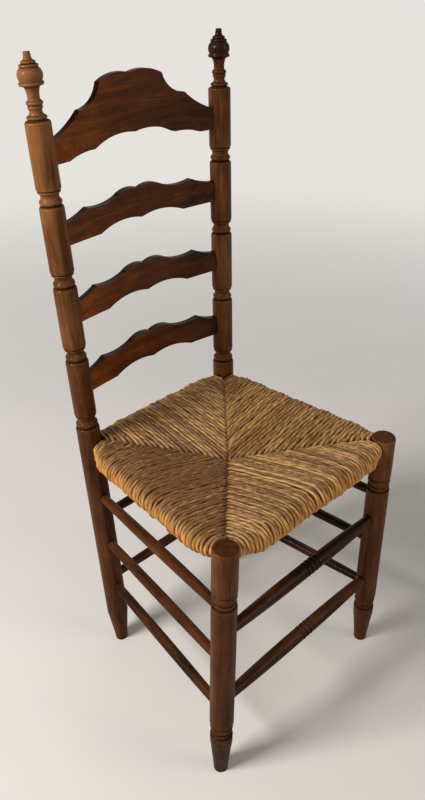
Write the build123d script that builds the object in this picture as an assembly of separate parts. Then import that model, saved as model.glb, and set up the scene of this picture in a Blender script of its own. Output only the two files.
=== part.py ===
from build123d import *
import math
import os

# A ladder-back dining chair with a woven rush seat, in millimetres.
# +Z is up and the chair faces -Y. It stands on the floor at Z = 0.
# Y is measured from the line of the front posts until the last step, which puts the origin
# under the middle of the chair.

# Posts
FRONT_POST_HEIGHT = 475.0
REAR_SHOULDER_HEIGHT = 964.0
POST_D = 38.0
BACK_POST_D = 35.5
ANKLE_D = 36.0
FRONT_SPAN_FLOOR = 376.4
FRONT_SPAN_TOP = 360.0
REAR_SPAN_FLOOR = 284.2
REAR_SPAN_SHOULDER = 334.7
DEPTH_FLOOR = 319.5
REAR_LEAN = 46.5
FOOT_D = 22.5
TOE_D = 24.5
TOE_HEIGHT = 14.0
TAPER_HEIGHT = 72.0
FOOT_TRIM = 2.0
TOP_EDGE_ROUND = 4.0
TOP_DOME = 1.6

# Turned rings: heights from the floor or the seat, drops from the top of a post
FRONT_RING_DROP = 89.0
ANKLE_RING_HEIGHT = 105.0
LOWEST_BACK_RING_RISE = 58.1
TOP_BACK_RING_DROP = 97.3

# Ladder back, from the lowest slat up, each above a ring of the posts
SLAT_NAMES = ("lower_slat", "middle_slat", "upper_slat", "crest_slat")
SLAT_RISE = 44.4
CREST_RISE = 38.8
SLAT_THICKNESS = 11.5
SLAT_BOW = 14.75
SLAT_TENON = 13.0
SLAT_CORNER_ROUND = 3.0

# Rungs: upper ones drop from the seat rails, lower ones are above the floor
SIDE_UPPER_RUNG_DROP = 96.0
FRONT_UPPER_RUNG_DROP = 143.5
BACK_UPPER_RUNG_DROP = 146.0
SIDE_LOWER_RUNG_HEIGHT = 144.3
FRONT_LOWER_RUNG_HEIGHT = 162.5
BACK_LOWER_RUNG_HEIGHT = 155.5
RUNG_D = 18.0
RUNG_END_D = 15.0
FRONT_RUNG_D = 23.0
FRONT_RUNG_END_D = 17.0
RUNG_TENON = 12.0
RUNG_GROOVE_COUNT = 4
RUNG_GROOVE_PITCH = 9.1
RUNG_GROOVE_WIDTH = 4.4
RUNG_GROOVE_DEPTH = 1.8
RUNG_GROOVE_SHIFT = 7.5
RUNG_BEAD_RISE = 0.4

# Seat rails and the rush woven over them
FRONT_RAIL_DROP = 24.5
SEAT_FALL = 7.0
RAIL_D = 26.0
RAIL_END_D = 12.0
RAIL_TAPER = 22.0
RAIL_TENON = 11.0
RUSH_LAYER = 6.8
RUSH_CENTRE_SETBACK = 175.0
RUSH_SAG = 36.0
RUSH_CENTRE_THICKNESS = 15.0
RUSH_END_INSET = 8.0
RUSH_DRAW_REACH = 70.0
RUSH_END_R = 14.0
RUSH_END_OVERHANG = 8.0
SEAM_WALL = 9.0
STUFFING_END_THICKNESS = 3.0

# Shape of the dished seat, as shares of the way from the rail to the centre and of its fall
RUSH_FLAT_REACH = 0.2
RUSH_TURN_REACH = 0.6
RUSH_TURN_RISE = 0.45

# Clearances
TENON_CLEARANCE = 0.1
TENON_END_GAP = 0.8
RUSH_CLEARANCE = 0.2

# Turned outlines, from the bottom up. A row is (inset from the post's surface, height from the
# ring's middle, bulge). The bulge is how far the arc from the row before stands out of its
# chord: negative for a hollow, 0 for a straight line.
BACK_RING = [
    (0.0, -18.0, 0.0),
    (1.8, -14.4, 0.5),
    (4.3, -12.6, 0.0),
    (3.2, -4.8, 2.3),
    (2.9, 4.2, -1.6),
    (2.6, 8.2, 1.6),
    (0.0, 10.4, 0.6),
]
FRONT_RING = [
    (0.0, -20.4, 0.0),
    (1.2, -17.4, 0.5),
    (3.2, -16.2, 0.0),
    (3.2, -14.2, 0.0),
    (3.2, -8.2, 2.1),
    (3.2, -5.8, 0.0),
    (3.2, 5.8, 2.7),
    (3.2, 8.2, 0.0),
    (1.4, 9.4, 0.0),
    (0.0, 12.0, 0.4),
]
# The finial's rows are (radius, height above the shoulder, bulge).
FINIAL = [
    (13.6, 3.4, 1.2),
    (12.4, 3.9, 0.0),
    (12.4, 5.2, 0.0),
    (11.6, 9.8, 2.0),
    (9.4, 18.2, -1.6),
    (9.4, 22.6, 1.0),
    (9.6, 28.6, 1.9),
    (8.1, 31.4, -0.4),
    (10.0, 44.2, -0.6),
    (15.6, 47.4, -0.9),
    (15.2, 52.0, 1.5),
    (15.0, 53.0, 0.0),
    (12.0, 69.6, 3.2),
    (11.6, 73.2, 1.1),
    (9.2, 73.6, 0.0),
    (8.8, 77.2, 0.9),
    (5.2, 81.6, -1.0),
    (4.6, 87.2, 0.0),
    (3.6, 88.0, 0.3),
    (0.0, 88.2, 0.0),
]

# Slat outlines, from the middle outwards. A row is (distance from the middle, height above the
# slat's lower corners, bulge). The top ends on the post at the height of the tenon.
SLAT_TOP = [(0.0, 51.6, 0.0), (45.0, 48.0, 5.5), (103.0, 45.0, -4.6)]
SLAT_TOP_END_BULGE = -2.0
SLAT_END_HEIGHT = 32.5
SLAT_LOW = [(0.0, 6.0, 0.0), (82.0, 0.0, -7.4)]
CREST_TOP = [(0.0, 102.3, 0.0), (57.5, 95.5, 5.8), (97.0, 64.0, -8.5)]
CREST_TOP_END_BULGE = -3.4
CREST_END_HEIGHT = 33.0
CREST_LOW = [(0.0, 19.3, 0.0), (76.0, 7.5, -6.9), (124.0, 0.0, -2.6)]

LEFT, RIGHT = -1, 1
SIDES = {"left": LEFT, "right": RIGHT}
POST_R = POST_D / 2
BACK_POST_R = BACK_POST_D / 2
FRONT_RAIL_HEIGHT = FRONT_POST_HEIGHT - FRONT_RAIL_DROP
BACK_RAIL_HEIGHT = FRONT_RAIL_HEIGHT - SEAT_FALL


def front_axis(side, height):
    """Point of a front post's axis at a height above the floor."""
    share = height / FRONT_POST_HEIGHT
    span = FRONT_SPAN_FLOOR + (FRONT_SPAN_TOP - FRONT_SPAN_FLOOR) * share
    return Vector(side * span / 2, 0, height)


def rear_axis(side, height):
    """Point of a rear post's axis at a height above the floor."""
    share = height / REAR_SHOULDER_HEIGHT
    span = REAR_SPAN_FLOOR + (REAR_SPAN_SHOULDER - REAR_SPAN_FLOOR) * share
    return Vector(side * span / 2, DEPTH_FLOOR + REAR_LEAN * share, height)


def one_solid(shape):
    """The only solid of a shape."""
    solids = shape.solids()
    if len(solids) != 1:
        raise ValueError(f"expected one solid, found {len(solids)}")
    return solids[0]


def arc_or_line(start, end, bulge, normal):
    """Edge from start to end that stands bulge out of its chord, towards normal."""
    if bulge == 0:
        return Line(start, end)
    return ThreePointArc(start, (start + end) * 0.5 + normal * bulge, end)


def turned(outline):
    """Solid turned about Z from rows of (radius, height, bulge), from the bottom up."""
    points = [Vector(radius, 0, height) for radius, height, bulge in outline]
    edges = []
    for start, end, row in zip(points, points[1:], outline[1:]):
        chord = end - start
        outward = Vector(chord.Z, 0, -chord.X).normalized()
        edges.append(arc_or_line(start, end, row[2], outward))
    foot, head = Vector(0, 0, points[0].Z), Vector(0, 0, points[-1].Z)
    if points[-1].X > 0:
        edges.append(Line(points[-1], head))
    edges.append(Line(head, foot))
    edges.append(Line(foot, points[0]))
    return revolve(make_face(edges), Axis.Z)


def ring_rows(ring, middle, radius_below, radius_above):
    """Rows of a turned ring whose middle is at a distance along the post."""
    rows = []
    for inset, height, bulge in ring:
        radius = radius_below if height < 0 else radius_above
        rows.append((radius - inset, middle + height, bulge))
    return rows


def back_ring_height(ring):
    """Height of a rear post's ring, evenly spaced from the one above the seat to the top one."""
    lowest = BACK_RAIL_HEIGHT + LOWEST_BACK_RING_RISE
    top = REAR_SHOULDER_HEIGHT - TOP_BACK_RING_DROP
    return lowest + (top - lowest) * ring / (len(SLAT_NAMES) - 1)


def foot_rows(ankle_radius):
    """Rows of a tapered foot, which starts below the floor to be cut level with it."""
    return [
        (FOOT_D / 2, -FOOT_TRIM, 0.0),
        (TOE_D / 2, TOE_HEIGHT, 0.0),
        (ankle_radius, TAPER_HEIGHT, 0.0),
    ]


def stand_on_floor(post, base, top):
    """Set a post turned about Z on its own axis and cut its foot level with the floor."""
    placed = Plane(origin=base, z_dir=top - base) * post
    below_floor = Box(3 * POST_D, 3 * POST_D, 6 * FOOT_TRIM)
    return placed - Pos(base.X, base.Y, -3 * FOOT_TRIM) * below_floor


def front_post(side):
    """Front post: tapered foot, two turned rings and a domed top."""
    base, top = front_axis(side, 0), front_axis(side, FRONT_POST_HEIGHT)
    length = (top - base).length
    stretch = length / FRONT_POST_HEIGHT
    rows = foot_rows(ANKLE_D / 2)
    rows += ring_rows(FRONT_RING, ANKLE_RING_HEIGHT * stretch, ANKLE_D / 2, POST_R)
    rows += ring_rows(FRONT_RING, length - FRONT_RING_DROP, POST_R, POST_R)
    edge = length - TOP_DOME
    edge_r = POST_R - TOP_EDGE_ROUND
    dome_r = (edge_r**2 + TOP_DOME**2) / (2 * TOP_DOME)
    rows.append((POST_R, edge - TOP_EDGE_ROUND, 0.0))
    rows.append((edge_r, edge, TOP_EDGE_ROUND * (1 - math.sqrt(0.5))))
    rows.append((0.0, length, dome_r * (1 - math.cos(math.asin(edge_r / dome_r) / 2))))
    return stand_on_floor(turned(rows), base, top)


def rear_post(side):
    """Rear post: tapered foot, turned rings between the slats, and a finial."""
    base, top = rear_axis(side, 0), rear_axis(side, REAR_SHOULDER_HEIGHT)
    shoulder = (top - base).length
    stretch = shoulder / REAR_SHOULDER_HEIGHT
    rows = foot_rows(POST_R)
    below = POST_R
    for ring in range(len(SLAT_NAMES)):
        rows += ring_rows(BACK_RING, back_ring_height(ring) * stretch, below, BACK_POST_R)
        below = BACK_POST_R
    rows.append((BACK_POST_R, shoulder, 0.0))
    rows += [(radius, shoulder + height, bulge) for radius, height, bulge in FINIAL]
    return stand_on_floor(turned(rows), base, top)


def rod_and_holes(start, end, start_r, end_r, outline, tenon, tenon_r):
    """Rod between two post axes, and the two blind holes that take its tenons.

    The outline is a function of the two places along the rod where it leaves the posts.
    """
    length = (end - start).length
    faces = (start_r, length - end_r)
    tips = (faces[0] - tenon, faces[1] + tenon)
    rows = [(tenon_r, tips[0], 0.0)] + outline(*faces) + [(tenon_r, tips[1], 0.0)]
    frame = Plane(origin=start, z_dir=end - start)
    hole_r = tenon_r + TENON_CLEARANCE
    hole_length = tenon + TENON_END_GAP + tenon_r
    hole = Cylinder(hole_r, hole_length, align=(Align.CENTER, Align.CENTER, Align.MIN))
    start_hole = frame * Pos(0, 0, tips[0] - TENON_END_GAP) * hole
    end_hole = frame * Pos(0, 0, tips[1] + TENON_END_GAP - hole_length) * hole
    return frame * turned(rows), start_hole, end_hole


def plain_outline(leave, enter):
    """Outline of a plain rung, which swells from its ends to its middle in one long arc."""
    swell = (RUNG_D - RUNG_END_D) / 2
    return [(RUNG_END_D / 2, leave, 0.0), (RUNG_END_D / 2, enter, swell)]


def grooved_outline(leave, enter):
    """Outline of a front rung, which swells to turned grooves a little right of its middle."""
    middle = (leave + enter) / 2 + RUNG_GROOVE_SHIFT
    swell = (FRONT_RUNG_D - FRONT_RUNG_END_D) / 8
    rows = [(FRONT_RUNG_END_D / 2, leave, 0.0)]
    for groove in range(RUNG_GROOVE_COUNT):
        place = middle + (groove - (RUNG_GROOVE_COUNT - 1) / 2) * RUNG_GROOVE_PITCH
        rise = RUNG_BEAD_RISE if groove else swell
        rows.append((FRONT_RUNG_D / 2, place - RUNG_GROOVE_WIDTH / 2, rise))
        rows.append((FRONT_RUNG_D / 2, place + RUNG_GROOVE_WIDTH / 2, -RUNG_GROOVE_DEPTH))
    rows.append((FRONT_RUNG_END_D / 2, enter, swell))
    return rows


def rail_outline(leave, enter):
    """Outline of a seat rail: round, drawn down to its tenons near the posts."""
    return [
        (RAIL_END_D / 2, leave, 0.0),
        (RAIL_D / 2, leave + RAIL_TAPER, 0.0),
        (RAIL_D / 2, enter - RAIL_TAPER, 0.0),
        (RAIL_END_D / 2, enter, 0.0),
    ]


def slat_band(half_span, thickness, height):
    """Upright band of wood that runs from post axis to post axis, bowed towards +Y."""
    radius = (half_span**2 + SLAT_BOW**2) / (2 * SLAT_BOW)
    outer = Cylinder(radius + thickness / 2, height)
    return Pos(0, SLAT_BOW - radius, 0) * (outer - Cylinder(radius - thickness / 2, height))


def slat_edges(rows, close_x):
    """Edges of the rows from the middle to the side, with the mirrored ones of the other side."""
    edges = []
    for (x0, z0, _), (x1, z1, bulge) in zip(rows, rows[1:]):
        for side in (LEFT, RIGHT):
            start, end = Vector(side * x0, 0, z0), Vector(side * x1, 0, z1)
            normal = Vector(side * (z0 - z1), 0, x1 - x0).normalized() * close_x
            edges.append(arc_or_line(start, end, bulge, normal))
    return edges


def slat_and_mortises(base_height, top, top_end_bulge, end_height, low):
    """Bowed slat between the rear posts, and the two mortises that take its ends."""
    origin = Vector(0, rear_axis(RIGHT, base_height).Y, base_height)
    up = rear_axis(RIGHT, REAR_SHOULDER_HEIGHT) - rear_axis(RIGHT, 0)
    frame = Plane(origin=origin, x_dir=(1, 0, 0), z_dir=(0, up.Y, up.Z))
    half_span = rear_axis(RIGHT, base_height + end_height / 2).X
    face_x = half_span - BACK_POST_R
    tip_x = face_x + SLAT_TENON
    height = 3 * max(row[1] for row in top)

    upper = top + [(face_x, end_height, top_end_bulge), (tip_x, end_height, 0.0)]
    lower = low + [(tip_x, 0.0, 0.0)]
    edges = slat_edges(upper, 1) + slat_edges(lower, -1)
    edges += [Line((side * tip_x, 0, 0), (side * tip_x, 0, end_height)) for side in (LEFT, RIGHT)]
    outline = make_face(edges)
    corners = [corner for corner in outline.vertices() if abs(corner.X) < tip_x - SLAT_TENON / 2]
    outline = fillet(corners, SLAT_CORNER_ROUND)
    blank = extrude(outline, amount=4 * SLAT_BOW, dir=(0, 1, 0), both=True)
    wood = one_solid(blank & slat_band(half_span, SLAT_THICKNESS, height))

    room = slat_band(half_span, SLAT_THICKNESS + 2 * TENON_CLEARANCE, height)
    pocket_length = SLAT_TENON + TENON_END_GAP + BACK_POST_R
    pocket = Box(pocket_length, 8 * SLAT_BOW, end_height + 2 * TENON_CLEARANCE)
    middle_x = tip_x + TENON_END_GAP - pocket_length / 2
    mortises = {
        side: frame * (Pos(side * middle_x, 0, end_height / 2) * pocket & room) for side in (LEFT, RIGHT)
    }
    return frame * wood, mortises


def seat_panel(start, end, section, end_inset, seam_inset):
    """One of the seat's four panels, from the rail between two posts to the seat's centre.

    It is made on the seat's own plane, which holds the axes of the four rails. The section gives
    the panel's outline across the rail. It is carried along the rail and cut by the two seams
    that run from the posts to the centre.
    """
    along = (end - start).normalized()
    inward = Vector(-along.Y, along.X, 0)
    centre = Vector(0, RUSH_CENTRE_SETBACK, 0)
    depth = (centre - start).dot(inward)
    corner = start + along * end_inset

    def place(distance, height):
        return corner + inward * distance + Vector(0, 0, height)

    length = (end - start).length - 2 * end_inset
    carried = extrude(make_face(section(place, depth)), amount=length, dir=along)
    wide = inward * (3 * RAIL_D)
    plan = make_face(Polyline(start - wide, end - wide, end, centre, start, close=True))
    if seam_inset:
        plan = offset(plan, -seam_inset, kind=Kind.INTERSECTION)
    return carried & extrude(plan, amount=3 * RAIL_D, dir=(0, 0, 1), both=True)


def corner_trim(post, other, turn):
    """What the roll of rush lacks beside a post, where its strands draw in round the rail's end.

    The roll shrinks evenly towards the post, with its top kept level. Its two ends are reached
    at the same places on the seam as those of the panel round the corner. Turn is 1 where the
    seat lies on the left of the way from the post to the other one, and -1 on the right.
    """
    along = (other - post).normalized()
    inward = Vector(-along.Y, along.X, 0) * turn
    seam = (Vector(0, RUSH_CENTRE_SETBACK, 0) - post).normalized()
    top, low, _, _ = rush_heights()
    far = RUSH_DRAW_REACH

    def rim(seam_distance, radius, overhang):
        corner = post + along * (seam_distance * seam.dot(along))

        def place(distance, height):
            return corner + inward * distance + Vector(0, 0, height)

        middle = radius - overhang
        bottom = top - 2 * radius
        roll = ThreePointArc(place(middle, bottom), place(-overhang, top - radius), place(middle, top))
        square = Polyline(place(middle, top), place(far, top), place(far, bottom), place(middle, bottom))
        return make_face([roll, square])

    full = (top - low) / 2
    kept = loft([
        rim(POST_R, RUSH_END_R, RUSH_END_OVERHANG),
        rim(RUSH_DRAW_REACH, full, full),
    ], ruled=True)
    reach = RUSH_DRAW_REACH * seam.dot(along)
    frame = Plane(origin=post, x_dir=along, z_dir=(0, 0, 1))
    block = Box(reach, 2 * far, 2 * full, align=(Align.MIN, Align.CENTER, Align.MIN))
    return frame * Pos(0, 0, low) * block - kept


def rush_heights():
    """Heights of the rush above the rails: top and underside at the rail, and at the centre."""
    roll = RAIL_D / 2 + RUSH_CLEARANCE + RUSH_LAYER
    return roll, -roll, roll - RUSH_SAG, roll - RUSH_SAG - RUSH_CENTRE_THICKNESS


def rush_section(place, depth):
    """Outline of the woven rush: a roll round the rail, thinning and sinking to the centre."""
    top, low, centre_top, centre_low = rush_heights()

    def surface(outer, inner):
        turn = inner + (outer - inner) * RUSH_TURN_RISE
        flat = place(depth * RUSH_FLAT_REACH, outer)
        return Bezier(place(0, outer), flat, place(depth * RUSH_TURN_REACH, turn), place(depth, inner))

    roll = ThreePointArc(place(0, low), place(-top, 0), place(0, top))
    middle = Line(place(depth, centre_top), place(depth, centre_low))
    return [surface(top, centre_top), middle, surface(low, centre_low), roll]


def stuffing_section(first, gap):
    """Outline of the room between the two layers of rush, or of the straw with a gap round it."""
    def section(place, depth):
        top, low, centre_top, centre_low = rush_heights()
        middle = (centre_top + centre_low) / 2
        half = STUFFING_END_THICKNESS / 2

        def slope(outer, inner):
            return outer + (inner - outer) * first / depth

        corners = [
            place(first, slope(top - RUSH_LAYER, middle + half) - gap),
            place(depth, middle + half - gap),
            place(depth, middle - half + gap),
            place(first, slope(low + RUSH_LAYER, middle - half) + gap),
        ]
        return Polyline(*corners, close=True)
    return section


def post_room(radius):
    """Round bars on the four post axes, as high as the seat needs.

    The line where each bar's surface closes is turned away from the seat.
    """
    bars = []
    for axis, outward in ((front_axis, -1), (rear_axis, 1)):
        for side in (LEFT, RIGHT):
            foot = axis(side, BACK_RAIL_HEIGHT - 3 * RAIL_D)
            head = axis(side, FRONT_RAIL_HEIGHT + 3 * RAIL_D)
            frame = Plane(origin=(foot + head) * 0.5, x_dir=(side, outward, 0), z_dir=head - foot)
            bars.append(frame * Cylinder(radius, (head - foot).length))
    return bars


def seat_plane():
    """Plane of the seat rails' axes, with its origin at the middle of the front rail."""
    front = Vector(0, front_axis(RIGHT, FRONT_RAIL_HEIGHT).Y, FRONT_RAIL_HEIGHT)
    back = Vector(0, rear_axis(RIGHT, BACK_RAIL_HEIGHT).Y, BACK_RAIL_HEIGHT)
    return Plane(origin=front, x_dir=(1, 0, 0), z_dir=Vector(1, 0, 0).cross(back - front))


def rush_and_stuffing(rails):
    """The woven seat, hollow between its two layers, and the straw that fills it."""
    seat = seat_plane()
    corners = post_room(RUSH_DRAW_REACH)
    straw_corners = post_room(RUSH_DRAW_REACH + RUSH_CLEARANCE)
    straw = stuffing_section(RAIL_D / 2 + RUSH_CLEARANCE, RUSH_CLEARANCE)
    woven, rooms, pads = [], [], []
    for start, end in rails:
        ends = (seat.to_local_coords(start), seat.to_local_coords(end))
        trims = [corner_trim(*ends, 1), corner_trim(*reversed(ends), -1)]
        woven.append(seat_panel(*ends, rush_section, RUSH_END_INSET, 0) - trims)
        room = seat_panel(*ends, stuffing_section(0, 0), 0, SEAM_WALL / 2)
        rooms.append(seat * room - corners)
        length = (end - start).length
        rail = rail_outline(POST_R, length - POST_R)
        rail = [(RAIL_END_D / 2, 0.0, 0.0)] + rail + [(RAIL_END_D / 2, length, 0.0)]
        tunnel = turned([(radius + RUSH_CLEARANCE, place, bulge) for radius, place, bulge in rail])
        rooms.append(Plane(origin=start, z_dir=end - start) * tunnel)
        pad = seat_panel(*ends, straw, 0, SEAM_WALL / 2 + RUSH_CLEARANCE)
        pads.append(one_solid(seat * pad - straw_corners))
    rush = seat * woven[0].fuse(*woven[1:])
    return one_solid(rush - post_room(POST_R + RUSH_CLEARANCE) - rooms), Compound(pads)


def chair():
    """Every piece of the chair by name, in place."""
    pieces = {}
    posts = {}
    cuts = {}
    for word, side in SIDES.items():
        posts["front", side] = front_post(side)
        posts["rear", side] = rear_post(side)
        cuts["front", side] = []
        cuts["rear", side] = []

    def rod(name, ends, heights, outline, tenon, tenon_d):
        axes = {"front": front_axis, "rear": rear_axis}
        places = [axes[row](side, height) for (row, side), height in zip(ends, heights)]
        solid, *holes = rod_and_holes(*places, POST_R, POST_R, outline, tenon, tenon_d / 2)
        for end, hole in zip(ends, holes):
            cuts[end].append(hole)
        pieces[name] = solid
        return places

    front_ends = (("front", LEFT), ("front", RIGHT))
    back_ends = (("rear", RIGHT), ("rear", LEFT))
    right_ends = (("front", RIGHT), ("rear", RIGHT))
    left_ends = (("rear", LEFT), ("front", LEFT))
    rail_heights = {"front": FRONT_RAIL_HEIGHT, "rear": BACK_RAIL_HEIGHT}
    for level, height in {
        "upper": FRONT_RAIL_HEIGHT - FRONT_UPPER_RUNG_DROP,
        "lower": FRONT_LOWER_RUNG_HEIGHT,
    }.items():
        name = f"front_rung_{level}"
        rod(name, front_ends, (height, height), grooved_outline, RUNG_TENON, FRONT_RUNG_END_D)
    for level, height in {
        "upper": BACK_RAIL_HEIGHT - BACK_UPPER_RUNG_DROP,
        "lower": BACK_LOWER_RUNG_HEIGHT,
    }.items():
        rod(f"back_rung_{level}", back_ends, (height, height), plain_outline, RUNG_TENON, RUNG_END_D)
    for word, ends in {"left": left_ends, "right": right_ends}.items():
        for step, level in enumerate(("lower", "middle", "upper")):
            heights = []
            for row, side in ends:
                top = rail_heights[row] - SIDE_UPPER_RUNG_DROP
                heights.append(SIDE_LOWER_RUNG_HEIGHT + (top - SIDE_LOWER_RUNG_HEIGHT) * step / 2)
            rod(f"{word}_rung_{level}", ends, heights, plain_outline, RUNG_TENON, RUNG_END_D)

    rails = []
    seat = {"front": front_ends, "right": right_ends, "back": back_ends, "left": left_ends}
    for word, ends in seat.items():
        heights = [rail_heights[row] for row, side in ends]
        rails.append(rod(f"{word}_seat_rail", ends, heights, rail_outline, RAIL_TENON, RAIL_END_D))
    pieces["woven_rush_seat"], pieces["straw_stuffing"] = rush_and_stuffing(rails)

    slat = (SLAT_RISE, SLAT_TOP, SLAT_TOP_END_BULGE, SLAT_END_HEIGHT, SLAT_LOW)
    crest = (CREST_RISE, CREST_TOP, CREST_TOP_END_BULGE, CREST_END_HEIGHT, CREST_LOW)
    for ring, name in enumerate(SLAT_NAMES):
        rise, *form = crest if name == SLAT_NAMES[-1] else slat
        pieces[name], mortises = slat_and_mortises(back_ring_height(ring) + rise, *form)
        for side, mortise in mortises.items():
            cuts["rear", side].append(mortise)

    for word, side in SIDES.items():
        for row in ("front", "rear"):
            pieces[f"{row}_post_{word}"] = posts[row, side] - cuts[row, side]
    return pieces


def main():
    """Build the chair, put its origin under its middle and write one file for each piece."""
    pieces = chair()
    boxes = [piece.bounding_box() for piece in pieces.values()]
    middle_y = (min(box.min.Y for box in boxes) + max(box.max.Y for box in boxes)) / 2
    os.makedirs("parts", exist_ok=True)
    for name, piece in pieces.items():
        export_step(Pos(0, -middle_y, 0) * piece, f"parts/{name}.step")


main()
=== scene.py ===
import math

import bpy
import numpy as np
from bpy.props import FloatProperty, FloatVectorProperty, IntProperty, PointerProperty
from bpy.types import NodeSocket, Operator, Panel, PropertyGroup
from mathutils import Matrix, Vector


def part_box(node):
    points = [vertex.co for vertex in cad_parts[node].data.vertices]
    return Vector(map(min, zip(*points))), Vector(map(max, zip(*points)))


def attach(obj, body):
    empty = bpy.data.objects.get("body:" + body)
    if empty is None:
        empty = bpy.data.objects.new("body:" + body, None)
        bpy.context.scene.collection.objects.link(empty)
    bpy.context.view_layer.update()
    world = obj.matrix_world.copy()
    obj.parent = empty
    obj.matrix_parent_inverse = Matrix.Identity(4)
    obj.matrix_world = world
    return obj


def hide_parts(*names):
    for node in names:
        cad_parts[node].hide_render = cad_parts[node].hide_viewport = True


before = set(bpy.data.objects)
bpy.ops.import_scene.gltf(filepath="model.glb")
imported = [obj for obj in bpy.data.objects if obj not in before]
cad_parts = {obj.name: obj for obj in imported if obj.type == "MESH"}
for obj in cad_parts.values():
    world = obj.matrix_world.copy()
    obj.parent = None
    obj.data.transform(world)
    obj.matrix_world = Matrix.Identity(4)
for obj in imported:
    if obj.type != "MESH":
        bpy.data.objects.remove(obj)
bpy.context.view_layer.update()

bl_info = {
    "name": "Ladder-back rush chair",
    "version": (1, 0, 0),
    "blender": (4, 5, 0),
    "location": "View3D > Sidebar > Chair",
    "description": "Weaves the rush seat of a ladder-back chair, stains its wood and sets its stage",
    "category": "Object",
}

BODY = "root"

POSTS = ("front_post_left", "front_post_right", "rear_post_left", "rear_post_right")
SLATS = ("lower_slat", "middle_slat", "upper_slat", "crest_slat")
FRONT_RUNGS = ("front_rung_upper", "front_rung_lower")
BACK_RUNGS = ("back_rung_upper", "back_rung_lower")
SIDE_RUNGS = tuple(
    f"{side}_rung_{level}" for side in ("left", "right") for level in ("upper", "middle", "lower")
)
RAILS = ("front_seat_rail", "right_seat_rail", "back_seat_rail", "left_seat_rail")

# The seat's four panels in order, each with the corners at the start and the end of its rail.
PANELS = {
    "front": ("front_left", "front_right"),
    "right": ("front_right", "rear_right"),
    "back": ("rear_right", "rear_left"),
    "left": ("rear_left", "front_left"),
}

# Shift of tone towards the light stain at the foot and at the top of a piece, and the power of the
# run between them. On the posts and slats the shifts are painted light and shade: paler where lamp
# light falls, as on the upper left rear post, and darker where shade falls, as at the right ends of
# the slats and the top of the right rear post. Rungs have one shift.
POST_LIGHT_FADES = {
    "front_post_left": (-0.15, 0.13, 1.0),
    "front_post_right": (0.00, 0.16, 1.0),
    "rear_post_left": (-0.06, 0.56, 3.6),
    "rear_post_right": (0.11, -0.38, 20.0),
}
SLAT_LIGHT_FADE = (0.24, -0.14, 1.0)
RUNG_SHIFT = -0.15
OWN_RUNG_SHIFTS = {"front_rung_lower": -0.13, "left_rung_upper": -0.06, "left_rung_middle": -0.02}

# Where the grain pattern of a group starts, and its step from piece to piece.
POST_PATTERN = (0.0, 0.37)
SLAT_PATTERN = (1.7, 0.41)
RUNG_PATTERN = (3.9, 0.29)

# Middle and spread of the strands' tones in each panel, the lowest and highest tone, how dark the
# painted shade in the gaps between the strands is, and how much of that is lost on the worn and lit
# roll. The panels' middles and gaps differ as painted light and shade, the left panel darkest.
PANEL_TONES = {"front": (0.44, 0.18), "right": (0.385, 0.09), "back": (0.43, 0.13), "left": (0.20, 0.08)}
TONE_RANGE = (-0.2, 1.2)
PANEL_GAPS = {"front": 0.95, "right": 0.45, "back": 0.90, "left": 0.75}
WORN_LIT_GAP_LOSS = 0.6

# The worn and lit part of the roll, painted gold partly as wear and partly as painted light on its
# outer face: its middle and the length of its fade as shares of the half circle from top to bottom,
# and its level at the middle, which is held at 1.
WORN_LIT_MIDDLE, WORN_LIT_FADE, WORN_LIT_LEVEL = 0.56, 0.26, 1.5

# Points of a strand over the seat, round the rail and under the seat, points round a strand, depth
# of its two lobes as a share of its radius, and points of the dish's curve.
OVER_STEPS, ROLL_STEPS, UNDER_STEPS = 36, 22, 20
STRAND_SIDES = 10
LOBE_DEPTH = 0.13
DISH_POINTS = 201

# Shift of a strand's UV map for each radian of the twist's start, so that no two strands look alike.
MAP_SHIFT = 7.0

# Unevenness of the strands in metres, and of their radius as a share. A bulge of the roll is shared
# by a few strands. A wave is how many radians it runs through from end to end, and its reach.
ROLL_BULGE = 0.0013
BULGE_STRANDS = 4
ROLL_SCATTER = 0.0006
CROSSING_SCATTER = 0.0003
HEIGHT_SCATTER = 0.0005
SIDE_WAVES = ((9, 0.0005), (29, 0.0003))
HEIGHT_WAVE = (21, 0.0004)
RADIUS_WAVE = (31, 0.05)
RADIUS_RANGE = (0.90, 1.08)

# How far a strand runs past its seam, and how far the straw stays inside the strands' middle lines.
SEAM_OVERRUN = 0.0012
STRAW_INSET = 0.0021

# Lamps and floor
WINDOW_LAMP = {"size": 0.8, "place": (-1.9, 0.5, 2.0), "target": (0.0, 0.05, 0.6)}
ROOM_LAMP = {"size": 1.2, "place": (1.2, -2.2, 1.7), "target": (0.0, 0.0, 0.45)}
FLOOR_HALF = 40.0
FLOOR_POINTS = 9


def length_size(name, description, default):
    """A size in metres."""
    return FloatProperty(
        name=name,
        description=description,
        default=default,
        min=0.0,
        precision=4,
        subtype="DISTANCE",
        unit="LENGTH",
    )


def share_size(name, description, default):
    """A share from 0 to 1."""
    return FloatProperty(
        name=name, description=description, default=default, min=0.0, max=1.0, subtype="FACTOR"
    )


def strand_count(seam, default):
    """A count of the strands on a seam."""
    return IntProperty(
        name=f"{seam} strands", description=f"Strands on the {seam.lower()} seam", default=default, min=4
    )


def level_size(name, description, default, subtype="NONE"):
    """A level or a power of light, from 0 up."""
    return FloatProperty(name=name, description=description, default=default, min=0.0, subtype=subtype)


def angle_size(name, description, default):
    """An angle in radians."""
    return FloatProperty(name=name, description=description, default=default, subtype="ANGLE")


def paint(name, description, default):
    """A colour, as linear red, green and blue."""
    return FloatVectorProperty(
        name=name, description=description, default=default, size=3, min=0.0, max=1.0, subtype="COLOR"
    )


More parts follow.
